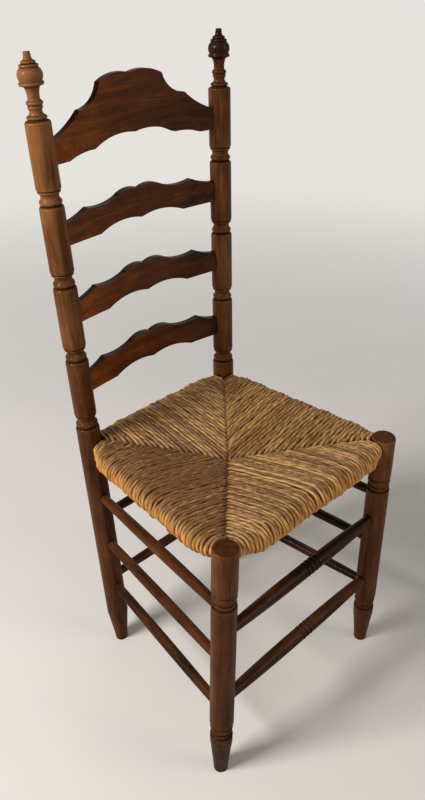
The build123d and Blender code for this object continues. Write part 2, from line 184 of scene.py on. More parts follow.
class RushSizes(PropertyGroup):
    """Sizes of the woven seat."""

    strand_radius: length_size("Strand radius", "Radius of one twisted strand of rush", 0.0034)
    twist_pitch: length_size("Twist pitch", "Length of strand in which it turns once", 0.055)
    post_radius: length_size("Post radius", "Radius of the posts beside the rush", 0.0190)
    rail_short: length_size("Rail end to post axis", "From the end of a rail to the axis of its post", 0.0080)
    centre_setback: length_size("Centre setback", "From the front rail to where the four panels meet", 0.1750)
    roll_radius: length_size("Roll radius", "Radius of the roll of rush round a rail", 0.0200)
    sag: length_size("Sag", "Fall of the upper side from the rails to the centre", 0.0360)
    centre_thickness: length_size("Centre thickness", "Thickness of the seat where the panels meet", 0.0150)
    end_radius: length_size("Roll end radius", "Radius of the roll beside a post", 0.0140)
    end_overhang: length_size(
        "Roll end overhang", "How far the roll stands out of the rail's axis beside a post", 0.0080
    )
    draw_reach: length_size(
        "Draw reach", "Distance from a post, along the seam, at which the roll is full", 0.0700
    )
    seam_dive: length_size("Seam dive", "How deep the strands dive into a seam", 0.0046)
    seam_reach: length_size("Seam reach", "Length of strand over which it dives", 0.0120)
    flat_reach: share_size("Flat reach", "Share of the way to the centre that starts level", 0.2)
    turn_reach: share_size("Turn reach", "Share of the way to the centre at which the dish turns", 0.6)
    turn_rise: share_size("Turn rise", "Share of the fall that is left at the turn", 0.45)
    front_left: strand_count("Front left", 28)
    front_right: strand_count("Front right", 23)
    rear_right: strand_count("Rear right", 23)
    rear_left: strand_count("Rear left", 20)
    seed: IntProperty(name="Seed", description="Start of the strands' random differences", default=11, min=0)


class RushColours(PropertyGroup):
    """Colours of the rush and the straw."""

    straw: paint("Pale strands", "Colour of the palest strands", (0.50, 0.283, 0.094))
    brown: paint("Brown strands", "Colour of the darkest strands", (0.120, 0.049, 0.0125))
    # Painted light and wear: the gold of the rolls' outer faces.
    gold: paint("Worn rolls", "Colour of the rush on the rolled edges", (0.57, 0.262, 0.058))
    # Painted shade: the dark deep in the gaps and seams between the strands and between the straw stalks.
    gap: paint("Gaps", "Colour deep between the strands", (0.030, 0.0125, 0.0045))
    filling: paint("Filling", "Colour of the straw inside the seat", (0.085, 0.040, 0.016))


class WoodColours(PropertyGroup):
    """Colours of the stained wood."""

    dark: paint("Dark stain", "Colour of the stain in the pores and grain lines", (0.016, 0.0052, 0.0016))
    middle: paint("Stain", "Main colour of the stain", (0.070, 0.0208, 0.0048))
    light: paint("Light stain", "Colour of the palest grain", (0.190, 0.0780, 0.0240))
    red: paint("Red stain", "Colour of the palest grain of the slats", (0.230, 0.0600, 0.0090))
    raw_dark: paint("Raw grain", "Grain lines of the unstained rails", (0.230, 0.130, 0.060))
    raw_light: paint("Raw wood", "Main colour of the unstained rails", (0.420, 0.280, 0.150))


class StageSettings(PropertyGroup):
    """Floor, lamps and camera."""

    floor: paint("Floor", "Colour of the floor", (0.640, 0.625, 0.605))
    ground: paint("Far ground", "Colour of the ground far from the chair", (0.790, 0.770, 0.730))
    sky: paint("Sky", "Colour of the light from all round", (1.0, 0.985, 0.96))
    sky_strength: level_size("Sky strength", "Level of the light from all round", 0.36)
    key: paint("Key lamp", "Colour of the window light from the left", (1.0, 0.97, 0.93))
    key_power: level_size("Key power", "Power of the window light", 78.0, "POWER")
    fill: paint("Fill lamp", "Colour of the room light from the right", (1.0, 0.88, 0.74))
    fill_power: level_size("Fill power", "Power of the room light", 16.0, "POWER")
    camera_place: FloatVectorProperty(
        name="Camera",
        description="Place of the camera",
        default=(-0.7038, -0.7063, 1.1826),
        size=3,
        subtype="TRANSLATION",
    )
    camera_azimuth: angle_size("Azimuth", "Turn of the view about the upright", math.radians(-43.28))
    camera_elevation: angle_size("Elevation", "How far the camera looks down", math.radians(29.88))
    camera_roll: angle_size("Roll", "Tilt of the picture", -0.0099)
    lens: FloatProperty(name="Lens", description="Focal length in millimetres", default=33.79, min=1.0)
    shift_x: FloatProperty(name="Shift across", description="Sideways shift of the picture", default=0.0082)
    shift_y: FloatProperty(name="Shift up", description="Upward shift of the picture", default=-0.0485)


class ChairSettings(PropertyGroup):
    """Everything that a user may change."""

    rush: PointerProperty(type=RushSizes, name="Rush", description="Sizes of the woven seat")
    rush_colours: PointerProperty(type=RushColours, name="Rush colours", description="Colours of the seat")
    wood_colours: PointerProperty(type=WoodColours, name="Wood colours", description="Colours of the wood")
    stage: PointerProperty(type=StageSettings, name="Stage", description="Floor, lamps and camera")


# Shader nodes


def node(tree, kind, inputs=None, **settings):
    """Add a shader node with its settings, and link or set its inputs."""
    made = tree.nodes.new(kind)
    for key, value in settings.items():
        setattr(made, key, value)
    for key, value in (inputs or {}).items():
        if isinstance(value, NodeSocket):
            tree.links.new(value, made.inputs[key])
        else:
            made.inputs[key].default_value = value
    return made


def math_node(tree, operation, first, second=0.5):
    """Result of a sum, product or other step on two values."""
    return node(tree, "ShaderNodeMath", {0: first, 1: second}, operation=operation).outputs[0]


def plus(tree, first, second):
    """Sum of two values."""
    return math_node(tree, "ADD", first, second)


def times(tree, first, second):
    """Product of two values."""
    return math_node(tree, "MULTIPLY", first, second)


def swing(tree, value, reach):
    """A cloudy value's distance from its middle, times a reach."""
    return times(tree, math_node(tree, "SUBTRACT", value, 0.5), reach)


def dot(tree, first, second):
    """Product of two directions, which is the cosine of the angle between them."""
    return node(tree, "ShaderNodeVectorMath", {0: first, 1: second}, operation="DOT_PRODUCT").outputs["Value"]


def stretched(tree, place, scale):
    """A place with each of its three values multiplied."""
    return node(tree, "ShaderNodeMapping", {"Vector": place, "Scale": scale}).outputs[0]


def spread(tree, value, low, high, to_low=0.0, to_high=1.0):
    """Value carried smoothly from one range to another, and held at its ends."""
    inputs = {"Value": value, "From Min": low, "From Max": high, "To Min": to_low, "To Max": to_high}
    return node(tree, "ShaderNodeMapRange", inputs, interpolation_type="SMOOTHSTEP").outputs[0]


def blend_colour(tree, share, first, second):
    """Second colour laid over the first by a share."""
    colours = [tuple(c) + (1.0,) if not isinstance(c, NodeSocket) else c for c in (first, second)]
    inputs = {0: share, 6: colours[0], 7: colours[1]}
    return node(tree, "ShaderNodeMix", inputs, data_type="RGBA").outputs[2]


def noise(tree, place, scale, detail=2.0, rough=0.5, warp=0.0):
    """Cloudy value from 0 to 1."""
    inputs = {"Vector": place, "Scale": scale, "Detail": detail, "Roughness": rough, "Distortion": warp}
    return node(tree, "ShaderNodeTexNoise", inputs).outputs[0]


def shell(name):
    """A new material with a bare surface shader."""
    material = bpy.data.materials.new(name)
    material.use_nodes = True
    tree = material.node_tree
    return material, tree, tree.nodes["Principled BSDF"]


def object_place(tree):
    """A point of a piece in the shared frame."""
    return node(tree, "ShaderNodeTexCoord").outputs["Object"]


def grain_space(tree, run):
    """A point of a piece, turned and moved so that the grain runs along Z from the piece's middle."""
    along, middle, _ = run
    turn = Vector((0, 0, 1)).rotation_difference(along).to_euler()
    inputs = {"Vector": object_place(tree), "Location": middle, "Rotation": turn}
    return node(tree, "ShaderNodeMapping", inputs, vector_type="TEXTURE").outputs[0]


def finish_surface(tree, surface, colour, rough, relief, strength, distance, normal=None):
    """Link a colour, a roughness and a relief of a strength and a depth to a surface."""
    inputs = {"Height": relief, "Strength": strength, "Distance": distance}
    if normal is not None:
        inputs["Normal"] = normal
    bump = node(tree, "ShaderNodeBump", inputs).outputs[0]
    for key, value in (("Base Color", colour), ("Roughness", rough), ("Normal", bump)):
        tree.links.new(value, surface.inputs[key])


def stained_wood(name, run, colours, light, fade, pattern, front=None):
    """Dark stained and varnished wood whose grain runs along a direction.

    Space is turned so that the grain runs along its Z, and squeezed along Z so that every pattern
    becomes long fibres. A slow noise gives the figure, a fast one the fibres, and a third, cut off
    high, the dark pores; pale flecks are short dashes along the grain, stronger where the fade is
    paler. Fade is two shifts of tone towards the light stain, at the start and the end of the
    piece, and the power of the run between them; on the posts and slats it is painted light and
    shade. Hollows are darker, as painted shade from ambient occlusion. The shoulders and the end
    grain are darker too, partly because end grain takes more stain and partly as painted shade on
    the shoulders and groove flanks; where the direction of a front face is given, the narrow faces
    beside it are painted near black instead, partly as stain gathered on the edges and partly as
    painted shade. Edges are rounded in the shading and painted pale, partly as wear and partly as
    a painted highlight on the rounded edge. The varnish is a thin clear coat, thinner on the dark
    faces and thicker on narrow faces that look up.
    """
    material, tree, surface = shell(name)
    along, _, half = run
    local = grain_space(tree, run)
    inputs = {"Vector": local, "Location": (pattern, 2 * pattern, 3 * pattern)}
    moved = node(tree, "ShaderNodeMapping", inputs).outputs[0]
    drawn = stretched(tree, moved, (1.0, 1.0, 0.085))
    thin = stretched(tree, moved, (1.0, 1.0, 0.022))
    short = stretched(tree, moved, (1.0, 1.0, 0.30))
    figure = noise(tree, drawn, 62.0, 5.0, 0.62, 0.9)
    fibre = noise(tree, thin, 640.0, 2.0, 0.6)
    pore = spread(tree, noise(tree, thin, 1150.0, 1.0, 0.5), 0.60, 0.74)
    cloud = noise(tree, moved, 13.0, 3.0, 0.55)
    fleck = spread(tree, noise(tree, short, 300.0, 1.0, 0.4), 0.66, 0.76)

    height = node(tree, "ShaderNodeSeparateXYZ", {0: local}).outputs["Z"]
    inputs = {"Value": height, "From Min": -half, "From Max": half}
    share = node(tree, "ShaderNodeMapRange", inputs).outputs[0]
    # Fade: on the posts and slats this is painted light and shade along the piece.
    first, last, power = fade
    faded = plus(tree, times(tree, math_node(tree, "POWER", share, power), last - first), first)
    tone = plus(tree, times(tree, figure, 0.72), times(tree, fibre, 0.28))
    tone = plus(tree, plus(tree, tone, swing(tree, cloud, 0.5)), faded)
    body = blend_colour(tree, spread(tree, tone, 0.24, 0.52), colours.dark, colours.middle)
    body = blend_colour(tree, spread(tree, tone, 0.48, 0.90), body, light)
    body = blend_colour(tree, times(tree, pore, 0.62), body, colours.dark)
    # Pale flecks, stronger where the painted light of the fade is paler.
    pale = times(tree, fleck, spread(tree, faded, -0.1, 0.3, 0.12, 0.6))
    body = blend_colour(tree, pale, body, light)

    # Painted shade: ambient occlusion darkens the grooves and hollows.
    hollow_shade = node(tree, "ShaderNodeAmbientOcclusion", {"Distance": 0.007}, samples=8).outputs["AO"]
    body = blend_colour(tree, spread(tree, hollow_shade, 0.50, 0.90, 0.88, 0.0), body, colours.dark)
    normal = node(tree, "ShaderNodeNewGeometry").outputs["Normal"]
    facing = math_node(tree, "ABSOLUTE", dot(tree, normal, front or along))
    # Painted shade and stain: the slats' narrow faces are painted near black, partly stain gathered on the
    # edges and partly painted shade; on posts and rungs the end grain takes more stain and the shoulders and
    # groove flanks are darkened as painted shade.
    if front:
        edge_stain_and_shade, worn_edge_and_highlight = tuple(0.4 * c for c in colours.dark), 0.20
        edge = spread(tree, facing, 0.45, 0.90, 0.96, 0.0)
    else:
        edge_stain_and_shade, worn_edge_and_highlight = colours.dark, 0.55
        edge = spread(tree, facing, 0.45, 0.90, 0.0, 0.66)
    body = blend_colour(tree, edge, body, edge_stain_and_shade)
    # Wear and painted highlight: the rounded edges are painted pale.
    soft = node(tree, "ShaderNodeBevel", {"Radius": 0.0012}, samples=6).outputs[0]
    wear_and_highlight = spread(tree, dot(tree, normal, soft), 0.80, 0.97, worn_edge_and_highlight, 0.0)
    wear_and_highlight = times(tree, wear_and_highlight, spread(tree, hollow_shade, 0.6, 0.95))
    body = blend_colour(tree, wear_and_highlight, body, light)

    gloss = plus(tree, times(tree, cloud, 0.16), times(tree, fibre, 0.16))
    relief = math_node(tree, "SUBTRACT", times(tree, fibre, 0.6), times(tree, pore, 0.9))
    finish_surface(tree, surface, body, plus(tree, gloss, 0.28), relief, 0.16, 0.0006, soft)
    coat = spread(tree, edge, 0.0, 0.9, 0.10, 0.01)
    if front:
        up = node(tree, "ShaderNodeSeparateXYZ", {0: normal}).outputs["Z"]
        coat = math_node(tree, "MAXIMUM", coat, spread(tree, up, 0.78, 0.99, 0.0, 0.30))
    tree.links.new(coat, surface.inputs["Coat Weight"])
    tree.links.new(spread(tree, edge, 0.0, 0.9, 0.03, 0.0), surface.inputs["Specular IOR Level"])
    surface.inputs["Coat Roughness"].default_value = 0.13
    return material


def raw_wood(name, run, colours):
    """Plain unstained wood of the hidden rails, with fibres along the rail."""
    material, tree, surface = shell(name)
    drawn = stretched(tree, grain_space(tree, run), (1.0, 1.0, 0.0625))
    figure = noise(tree, drawn, 90.0, 5.0, 0.6, 0.5)
    body = blend_colour(tree, spread(tree, figure, 0.3, 0.7), colours.raw_dark, colours.raw_light)
    finish_surface(tree, surface, body, plus(tree, times(tree, figure, 0.2), 0.6), figure, 0.2, 0.0005)
    return material


def strand_value(tree, name):
    """A value that the strands carry on their points."""
    return node(tree, "ShaderNodeAttribute", attribute_name=name).outputs["Fac"]


def woven_rush(colours):
    """Twisted rush: each strand has its own tone, fibres follow its twist, and gaps are dark.

    The UV map runs round the strand and along it, so a noise drawn out along a slanted line gives
    the leaves of the twist. The strands carry their tone, how far a point faces out of the seat,
    how dark the painted shade in the gaps beside it is, how far it stands out of the twist, how much
    it belongs to the worn and lit roll over the rail and how deep it is in a seam. Painted shade
    darkens the groove of the twist, the sides of a strand that face away and the seams; the roll is
    painted gold, partly as wear and partly as painted light.
    """
    material, tree, surface = shell("woven_rush")
    map_place = node(tree, "ShaderNodeUVMap", uv_map="strand").outputs[0]
    leaf = noise(tree, stretched(tree, map_place, (5.0, 4.2, 1.0)), 1.0, 3.0, 0.6, 0.4)
    hair = noise(tree, stretched(tree, map_place, (26.0, 5.2, 1.0)), 1.0, 2.0, 0.6)
    patch = noise(tree, object_place(tree), 17.0, 3.0, 0.55)

    tone = plus(tree, strand_value(tree, "tone"), swing(tree, leaf, 1.5))
    tone = plus(tree, plus(tree, tone, swing(tree, hair, 0.7)), swing(tree, patch, 0.4))
    body = blend_colour(tree, spread(tree, tone, 0.0, 1.0), colours.brown, colours.straw)
    # Painted light and wear: the rush on the roll's outer face turns gold.
    worn_lit = times(tree, strand_value(tree, "worn_lit"), spread(tree, tone, -0.2, 0.5, 0.35, 1.0))
    body = blend_colour(tree, worn_lit, body, colours.gold)
    # Painted shade in the groove between the twist's two lobes.
    groove = spread(tree, strand_value(tree, "lobe"), -1.0, -0.1, 0.50, 0.0)
    body = blend_colour(tree, groove, body, colours.brown)
    # Painted shade on the sides of each strand that face away, deep in the gaps.
    shade = spread(tree, strand_value(tree, "facing"), 0.40, 0.82, 0.95, 0.0)
    body = blend_colour(tree, times(tree, shade, strand_value(tree, "gap")), body, colours.gap)
    # Painted shade where the strands dive into the seams.
    seam = spread(tree, strand_value(tree, "deep"), 0.05, 0.80, 0.0, 0.65)
    body = blend_colour(tree, seam, body, colours.gap)

    rough = plus(tree, times(tree, hair, 0.22), 0.42)
    relief = plus(tree, leaf, times(tree, hair, 0.5))
    finish_surface(tree, surface, body, rough, relief, 0.55, 0.0009)
    surface.inputs["Specular IOR Level"].default_value = 0.24
    return material


def loose_straw(colours):
    """Dark straw inside the seat, with stalks in all directions."""
    material, tree, surface = shell("loose_straw")
    place = object_place(tree)
    across = noise(tree, stretched(tree, place, (1.0, 0.12, 1.0)), 420.0, 2.0, 0.6)
    along = noise(tree, stretched(tree, place, (0.12, 1.0, 1.0)), 420.0, 2.0, 0.6)
    stalks = math_node(tree, "MAXIMUM", across, along)
    body = blend_colour(tree, spread(tree, stalks, 0.45, 0.75), colours.gap, colours.filling)
    finish_surface(tree, surface, body, plus(tree, times(tree, stalks, 0.2), 0.65), stalks, 0.6, 0.001)
    return material


# Shapes of the seat


def seat_frame(sizes):
    """Origin and axes of the seat, and its four corners and centre on its own plane.

    The seat's plane holds the axes of the rails. Its origin is the middle of the front rail, X
    runs to the right, Y to the middle of the back rail and Z out of the upper side.
    """
    middles, halves = [], []
    for name in ("front_seat_rail", "back_seat_rail"):
        low, high = (np.array(corner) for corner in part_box(name))
        middles.append((low + high) / 2)
        halves.append((high[0] - low[0]) / 2 + sizes.rail_short)
    run = middles[1] - middles[0]
    run[0] = 0.0
    depth = np.linalg.norm(run)
    across = np.array((1.0, 0.0, 0.0))
    inward = run / depth
    axes = np.stack((across, inward, np.cross(across, inward)))
    corners = {
        "front_left": np.array((-halves[0], 0.0)),
        "front_right": np.array((halves[0], 0.0)),
        "rear_right": np.array((halves[1], depth)),
        "rear_left": np.array((-halves[1], depth)),
    }
    return middles[0], axes, corners, np.array((0.0, sizes.centre_setback))


def dish_height(share, outer, inner, sizes):
    """Height of the dished seat at a share of the way from the rail to the centre.

    It is the Bezier curve with control shares 0, flat reach, turn reach and 1 and control heights
    outer, outer, a part of the fall above inner, and inner, read at the share by interpolation.
    """
    t = np.linspace(0.0, 1.0, DISH_POINTS)
    weights = np.stack(((1 - t) ** 3, 3 * (1 - t) ** 2 * t, 3 * (1 - t) * t**2, t**3))
    shares = np.array((0.0, sizes.flat_reach, sizes.turn_reach, 1.0)) @ weights
    heights = np.array((outer, outer, inner + (outer - inner) * sizes.turn_rise, inner)) @ weights
    return np.interp(share, shares, heights)


def panel_plan(start, end, centre, counts, sizes):
    """Where each strand of a panel crosses its rail and where it enters a seam.

    Crossings are evenly spaced along the rail between the posts. The strands of the first count
    end on the seam from the start, the others on the seam from the end, evenly spaced from the
    post to the centre. The two panels at a seam use every other place, a quarter step apart from
    its ends, so that their strands interlock.
    """
    way = end - start
    length = np.linalg.norm(way)
    along = way / length
    inward = np.array((-along[1], along[0]))
    total = sum(counts)
    clear = sizes.post_radius
    crossing = clear + (np.arange(total) + 0.5) / total * (length - 2 * clear)
    ends = []
    for corner, count, offset in ((start, counts[0], 0.25), (end, counts[1], 0.75)):
        seam = centre - corner
        first = (clear + sizes.strand_radius) / np.linalg.norm(seam)
        share = first + (1 - first) * (np.arange(count) + offset) / count
        ends.append((corner + share[:, None] * seam, share))
    points = np.concatenate((ends[0][0], ends[1][0][::-1]))
    share = np.concatenate((ends[0][1], ends[1][1][::-1]))
    seams = np.array([np.linalg.norm(centre - corner) for corner in (start, end)])
    seam_distance = share * np.repeat(seams, counts)
    reach = (points - start) @ inward
    slide = (points - start) @ along
    depth = (centre - start) @ inward
    return along, inward, crossing, slide, reach, seam_distance, depth


def strand_paths(start, end, centre, counts, sizes, random):
    """Middle lines of a panel's strands, as distances along and across the rail and heights.

    A strand starts in its seam, runs over the upper side of the dish to the rail, goes round the
    rail in a half circle and comes back under the seat to the same seam. Beside the posts the
    circle is smaller and set in, with its top kept level. In plan the strand is a straight line
    from its crossing to its seam. Both ends dive into the seam.
    """
    plan = panel_plan(start, end, centre, counts, sizes)
    along, inward, crossing, slide, reach, seam_distance, depth = plan
    radius = sizes.strand_radius
    top = sizes.roll_radius
    drawn = np.clip((seam_distance - sizes.post_radius) / (sizes.draw_reach - sizes.post_radius), 0.0, 1.0)
    roll = sizes.end_radius + (top - sizes.end_radius) * drawn
    overhang = sizes.end_overhang + (top - sizes.end_overhang) * drawn
    across_middle = roll - overhang
    height_middle = top - roll
    total = len(crossing)
    margin = BULGE_STRANDS - 1
    even = np.ones(BULGE_STRANDS) / BULGE_STRANDS
    bulges = np.convolve(random.normal(size=total + 2 * margin), even, "same")[margin:-margin]
    bend = (roll - radius + ROLL_BULGE * bulges + random.normal(0, ROLL_SCATTER, total))[:, None]
    crossing = crossing + random.normal(0, CROSSING_SCATTER, total)

    go = np.linspace(0.0, 1.0, OVER_STEPS)[None, :]
    arc = np.linspace(0.0, math.pi, ROLL_STEPS)[None, 1:-1]
    back = np.linspace(0.0, 1.0, UNDER_STEPS)[None, :]
    far = (reach + SEAM_OVERRUN)[:, None]
    near = across_middle[:, None]

    over = far + (near - far) * go
    under = near + (far - near) * back
    round_rail = near - bend * np.sin(arc)
    lengthwise_over = slide[:, None] + (crossing - slide)[:, None] * go
    lengthwise_under = crossing[:, None] + (slide - crossing)[:, None] * back
    lengthwise_roll = np.repeat(crossing[:, None], arc.shape[1], axis=1)

    span = np.hypot(reach - across_middle, slide - crossing)[:, None]
    low_centre = top - sizes.sag - sizes.centre_thickness
    dive_over = np.clip(1 - span * go / sizes.seam_reach, 0.0, 1.0) ** 2 * sizes.seam_dive
    dive_under = np.clip(1 - span * (1 - back) / sizes.seam_reach, 0.0, 1.0) ** 2 * sizes.seam_dive
    height_over = dish_height(np.clip(over / depth, 0, 1), top, top - sizes.sag, sizes) - radius - dive_over
    height_under = dish_height(np.clip(under / depth, 0, 1), -top, low_centre, sizes) + radius + dive_under
    raised = (2 * top - 2 * roll)[:, None]
    height_under = height_under + raised * (1 - back) ** 2
    height_roll = height_middle[:, None] + bend * np.cos(arc)

    lengthwise = np.concatenate((lengthwise_over, lengthwise_roll, lengthwise_under), axis=1)
    across = np.concatenate((over, round_rail, under), axis=1)
    height = np.concatenate((height_over, height_roll, height_under), axis=1)
    # Share of the gold round the roll, partly wear and partly painted light.
    faded = np.abs(arc - WORN_LIT_MIDDLE * math.pi) / (WORN_LIT_FADE * math.pi)
    worn_lit_roll = np.clip(WORN_LIT_LEVEL - faded, 0, 1) * np.ones_like(round_rail)
    worn_lit = np.concatenate((np.zeros_like(over), worn_lit_roll, np.zeros_like(under)), axis=1)
    deep = np.concatenate((dive_over, np.zeros_like(round_rail), dive_under), axis=1) / sizes.seam_dive
    return along, inward, lengthwise, across, height, worn_lit, deep


def to_world(origin, axes, start, along, inward, lengthwise, across, height):
    """Points of the seat's plane and heights, in the shared frame."""
    plan = start + lengthwise[..., None] * along + across[..., None] * inward
    flat = np.concatenate((plan, height[..., None]), axis=-1)
    return origin + flat @ axes


def tube_mesh(name, lines, side, radii, twist, sides, values):
    """Mesh of many tubes, each a lobed ring carried along a middle line.

    The ring stands on the line's own direction and on the side direction, which is square to it.
    Its radius swings by the cosine of twice the angle less the twist, so two lobes wind along the
    tube. Ends are closed by flat faces. The UV map runs round the ring and along the line.
    """
    count, steps, _ = lines.shape
    forward = np.gradient(lines, axis=1)
    run = np.linalg.norm(np.diff(lines, axis=1), axis=2)
    distance = np.concatenate((np.zeros((count, 1)), np.cumsum(run, axis=1)), axis=1)
    forward /= np.linalg.norm(forward, axis=2, keepdims=True)
    beside = side - (forward @ side)[..., None] * forward
    beside /= np.linalg.norm(beside, axis=2, keepdims=True)
    outward = np.cross(forward, beside)
    angle = np.arange(sides) * 2 * math.pi / sides
    phase = 2 * math.pi * distance / twist["pitch"] + twist["start"][:, None]
    lobe = np.cos(2 * (angle - phase[..., None]))
    ring = radii[..., None] * (1 + twist["depth"] * lobe)
    points = (
        lines[:, :, None, :]
        + (ring * np.cos(angle))[..., None] * outward[:, :, None, :]
        + (ring * np.sin(angle))[..., None] * beside[:, :, None, :]
    )

    index = np.arange(count * steps * sides).reshape(count, steps, sides)
    turned = np.roll(index, -1, axis=2)
    quads = np.stack((index[:, :-1], index[:, 1:], turned[:, 1:], turned[:, :-1]), axis=-1)
    caps = np.stack((index[:, 0], index[:, -1, ::-1]), axis=1)
    loops = np.concatenate((quads.ravel(), caps.ravel()))
    starts = np.concatenate((
        np.arange(quads.size // 4) * 4,
        quads.size + np.arange(2 * count) * sides,
    ))
    around = np.broadcast_to(np.arange(sides)[None, None, :] / sides, quads.shape[:3])
    next_around = around + 1.0 / sides
    here = np.broadcast_to(distance[:, :-1, None], quads.shape[:3]) / twist["pitch"]
    ahead = np.broadcast_to(distance[:, 1:, None], quads.shape[:3]) / twist["pitch"]
    u = np.stack((around, around, next_around, next_around), axis=-1)
    v = np.stack((here, ahead, ahead, here), axis=-1)
    shift = twist["start"][:, None, None, None] * MAP_SHIFT
    quad_map = np.stack((u - v + shift, v + shift), axis=-1).reshape(-1, 2)
    uv = np.concatenate((quad_map, np.zeros((caps.size, 2))))

    mesh = bpy.data.meshes.new(name)
    mesh.vertices.add(index.size)
    mesh.vertices.foreach_set("co", points.astype(np.float32).ravel())
    mesh.loops.add(len(loops))
    mesh.loops.foreach_set("vertex_index", loops.astype(np.int32))
    mesh.polygons.add(len(starts))
    mesh.polygons.foreach_set("loop_start", starts.astype(np.int32))
    mesh.update(calc_edges=True)
    mesh.validate()
    mesh.polygons.foreach_set("use_smooth", np.ones(len(mesh.polygons), bool))
    layer = mesh.uv_layers.new(name="strand")
    layer.data.foreach_set("uv", uv.astype(np.float32).ravel())
    carried = dict(values, lobe=lobe, facing=np.broadcast_to(np.cos(angle), (count, steps, sides)))
    for key, value in carried.items():
        full = value if value.ndim == 3 else np.broadcast_to(value[..., None], (count, steps, sides))
        attribute = mesh.attributes.new(key, "FLOAT", "POINT")
        attribute.data.foreach_set("value", np.ascontiguousarray(full, dtype=np.float32).ravel())
    mesh.update()
    return mesh


def bag_mesh(name, sheets):
    """Mesh of closed bags, each a grid of loops whose first and last loops are closed by a face."""
    vertices, faces, first = [], [], 0
    for loops in sheets:
        count, steps, _ = loops.shape
        index = first + np.arange(count * steps).reshape(count, steps)
        turned = np.roll(index, -1, axis=1)
        quads = np.stack((index[:-1], turned[:-1], turned[1:], index[1:]), axis=-1).reshape(-1, 4)
        vertices.append(loops.reshape(-1, 3))
        faces += quads.tolist()
        faces += [index[0, ::-1].tolist(), index[-1].tolist()]
        first += count * steps
    mesh = bpy.data.meshes.new(name)
    mesh.from_pydata(np.concatenate(vertices), [], faces)
    mesh.validate()
    mesh.polygons.foreach_set("use_smooth", np.ones(len(mesh.polygons), bool))
    mesh.update()
    return mesh


def show(name, mesh, material, slot, *nodes):
    """Put a finished mesh into the scene in place of CAD nodes."""
    mesh.materials.append(material)
    piece = bpy.data.objects.new(name, mesh)
    bpy.context.scene.collection.objects.link(piece)
    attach(piece, BODY)
    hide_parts(*nodes)


def dress(names, make):
    """Give each CAD node the material that make returns for its name and its run.

    The run is the direction in which the node's points spread most, the middle of their length
    that way and half that length.
    """
    for name in names:
        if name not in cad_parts:
            raise RuntimeError(f"the frame has no node {name}")
        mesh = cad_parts[name].data
        points = np.empty(len(mesh.vertices) * 3, np.float32)
        mesh.vertices.foreach_get("co", points)
        points = points.reshape(-1, 3)
        middle = points.mean(axis=0)
        along = np.linalg.svd(points - middle, full_matrices=False)[2][0]
        along = along * np.sign(along[np.argmax(np.abs(along))])
        reach = (points - middle) @ along
        middle = middle + along * (reach.min() + reach.max()) / 2
        half = float(reach.max() - reach.min()) / 2
        mesh.materials.clear()
        mesh.materials.append(make(name, (Vector(along), Vector(middle), half)))


def wave(way, phase, radians, reach):
    """Sine of each strand's phase plus the radians run through so far, times the reach."""
    return np.sin(radians * way + phase[:, None]) * reach


def panel_paths(settings, panel, random):
    """Frame of the seat and paths of one panel's strands."""
    sizes = settings.rush
    origin, axes, corners, centre = seat_frame(sizes)
    first, second = PANELS[panel]
    counts = (getattr(sizes, first), getattr(sizes, second))
    paths = strand_paths(corners[first], corners[second], centre, counts, sizes, random)
    return origin, axes, corners[first], paths


class CHAIR_OT_stain_posts(Operator):
    """Stain the four turned posts, with the grain along each post"""

    bl_idname = "rush_chair.stain_posts"
    bl_label = "Stain posts"

    def execute(self, context):
        colours = context.scene.rush_chair.wood_colours
        start, step = POST_PATTERN

        def stain(name, run):
            pattern = start + POSTS.index(name) * step
            return stained_wood(f"stained_{name}", run, colours, colours.light, POST_LIGHT_FADES[name], pattern)

        dress(POSTS, stain)
        return {"FINISHED"}


class CHAIR_OT_stain_slats(Operator):
    """Stain the four slats of the ladder back, with the grain across the back"""

    bl_idname = "rush_chair.stain_slats"
    bl_label = "Stain slats"

    def execute(self, context):
        colours = context.scene.rush_chair.wood_colours
        front = Vector((0.0, 1.0, 0.0))
        start, step = SLAT_PATTERN

        def stain(name, run):
            pattern = start + SLATS.index(name) * step
            return stained_wood(f"stained_{name}", run, colours, colours.red, SLAT_LIGHT_FADE, pattern, front)

        dress(SLATS, stain)
        return {"FINISHED"}


class CHAIR_OT_stain_rungs(Operator):
    """Stain the ten rungs, with the grain along each rung"""

    bl_idname = "rush_chair.stain_rungs"
    bl_label = "Stain rungs"

    def execute(self, context):
        colours = context.scene.rush_chair.wood_colours
        rungs = FRONT_RUNGS + BACK_RUNGS + SIDE_RUNGS
        start, step = RUNG_PATTERN

        def stain(name, run):
            pattern = start + rungs.index(name) * step
            shift = OWN_RUNG_SHIFTS.get(name, RUNG_SHIFT)
            return stained_wood(f"stained_{name}", run, colours, colours.light, (shift, shift, 1.0), pattern)

        dress(rungs, stain)
        return {"FINISHED"}


class CHAIR_OT_finish_rails(Operator):
    """Leave the four seat rails under the rush as raw wood"""

    bl_idname = "rush_chair.finish_rails"
    bl_label = "Finish rails"

    def execute(self, context):
        colours = context.scene.rush_chair.wood_colours
        dress(RAILS, lambda name, run: raw_wood(f"raw_{name}", run, colours))
        return {"FINISHED"}


